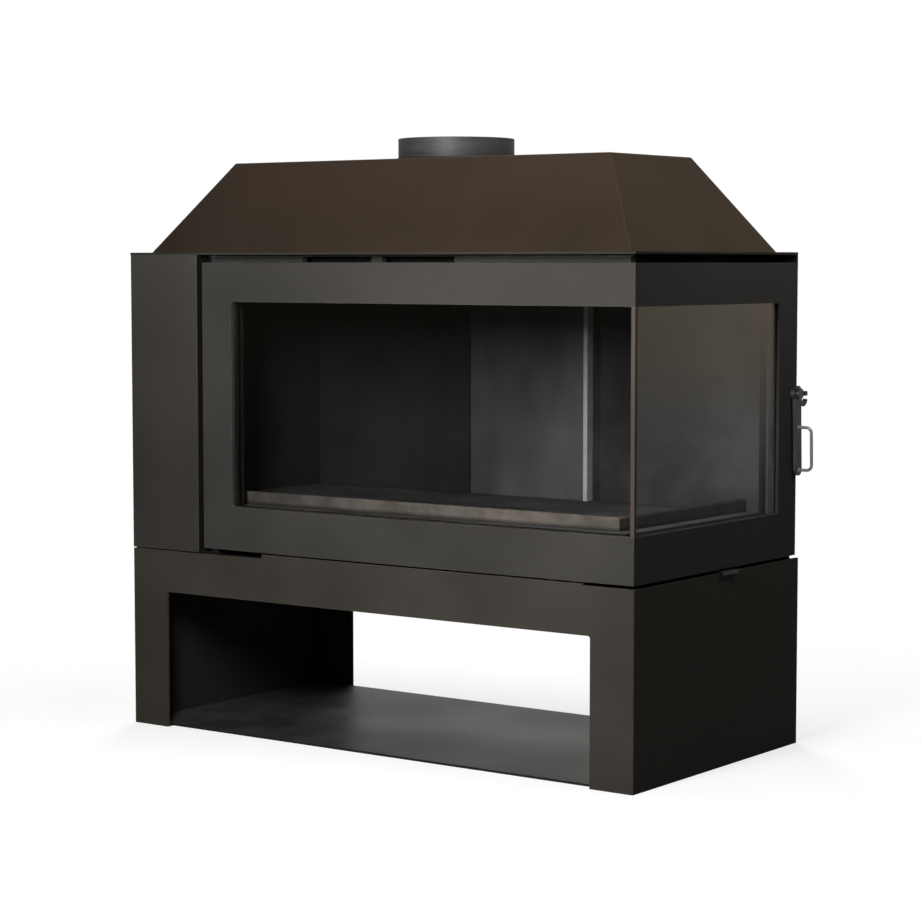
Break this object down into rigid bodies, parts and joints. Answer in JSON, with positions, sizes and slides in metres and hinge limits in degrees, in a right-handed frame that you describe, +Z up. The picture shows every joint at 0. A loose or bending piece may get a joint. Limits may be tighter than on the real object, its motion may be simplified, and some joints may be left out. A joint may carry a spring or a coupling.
{
  "type": "wood burning stove",
  "caption": "Free-standing wood burning stove with an L-shaped corner-glass door on a pin hinge, hook latch, open log store below, sloped smoke hood and round flue socket.",
  "frame": {"origin": "on the floor, under the flue's axis", "axes": "+Z up; +X to the right along the front, towards the side with glass; the front faces -Y"},
  "size_m": [1.0335, 0.5111, 0.982],
  "materials": {
    "graphite_paint": "matt heat-proof stove paint, fine powder texture",
    "hood_paint": "matt heat-proof paint, browned by heat",
    "collar_paint": "satin gunmetal paint",
    "firebox_steel": "bare plate darkened by soot",
    "cast_lining": "sooty cast plates, sand-cast skin",
    "ashy_bar": "cast bar greyed by ash",
    "ceramic_glass": "clear ceramic glass with a faint smoke tint",
    "rope_seal": "dark braided glass-fibre rope",
    "latch_steel": "dark grey satin steel",
    "pin_steel": "turned steel",
    "screw_steel": "blackened screw heads"
  },
  "bodies": {
    "stove": {"base_front_frame": "graphite_paint", "base_back_frame": "graphite_paint", "base_left_side": "graphite_paint", "base_right_side": "graphite_paint", "base_floor": "graphite_paint", "base_top": "graphite_paint", "body_bottom": "graphite_paint", "left_cover": "graphite_paint", "back_panel": "graphite_paint", "top_plate": "graphite_paint", "header_strip": "graphite_paint", "left_jamb": "graphite_paint", "rear_jamb": "graphite_paint", "sill": "graphite_paint", "lintel": "graphite_paint", "air_guide": "graphite_paint", "hood_front": "hood_paint", "hood_back": "hood_paint", "hood_left": "hood_paint", "hood_right": "hood_paint", "hood_top": "hood_paint", "flue_collar": "collar_paint", "left_wall": "firebox_steel", "back_wall": "firebox_steel", "clamp_bar": "firebox_steel", "hearth_ledge": "firebox_steel", "baffle": "firebox_steel", "baffle_rest": "firebox_steel", "left_lining": "cast_lining", "back_lining_left": "cast_lining", "back_lining_centre": "cast_lining", "back_lining_right": "cast_lining", "hearth": "cast_lining", "log_retainer": "ashy_bar", "keeper_bracket": "latch_steel", "hinge_bottom": "pin_steel", "hinge_top": "pin_steel", "keeper_pin": "pin_steel", "keeper_screws": "screw_steel", "back_screws": "screw_steel"},
    "door": {"door_frame": "graphite_paint", "front_glass": "ceramic_glass", "side_glass": "ceramic_glass", "corner_bead": "graphite_paint", "front_glazing_bars": "firebox_steel", "side_glazing_bars": "firebox_steel", "glazing_screws": "screw_steel", "door_seal": "rope_seal", "latch_bolt": "pin_steel", "latch_washer": "pin_steel"},
    "latch": {"latch_lever": "latch_steel", "latch_handle": "latch_steel"},
    "air_slide": {"air_slide": "latch_steel"},
    "ash_pan": {"ash_pan": "firebox_steel"},
    "grate": {"grate": "cast_lining"}
  },
  "joints": [
    {"name": "door_hinge", "type": "hinge", "parent": "stove", "child": "door", "pos_m": [-0.324, -0.23, 0.306], "axis": [0, 0, -1], "range_deg": [0, 100]},
    {"name": "latch_pivot", "type": "hinge", "parent": "door", "child": "latch", "pos_m": [0.503, 0.235, 0.571], "axis": [1, 0, 0], "range_deg": [0, 24]},
    {"name": "air_slide", "type": "slide", "parent": "stove", "child": "air_slide", "axis": [0, 1, 0], "range_m": [0, 0.03]},
    {"name": "ash_pan_lift", "type": "slide", "parent": "stove", "child": "ash_pan", "axis": [0, 0, 1], "range_m": [0, 0.09]},
    {"name": "grate_lift", "type": "slide", "parent": "ash_pan", "child": "grate", "axis": [0, 0, 1], "range_m": [0, 0.06]}
  ]
}
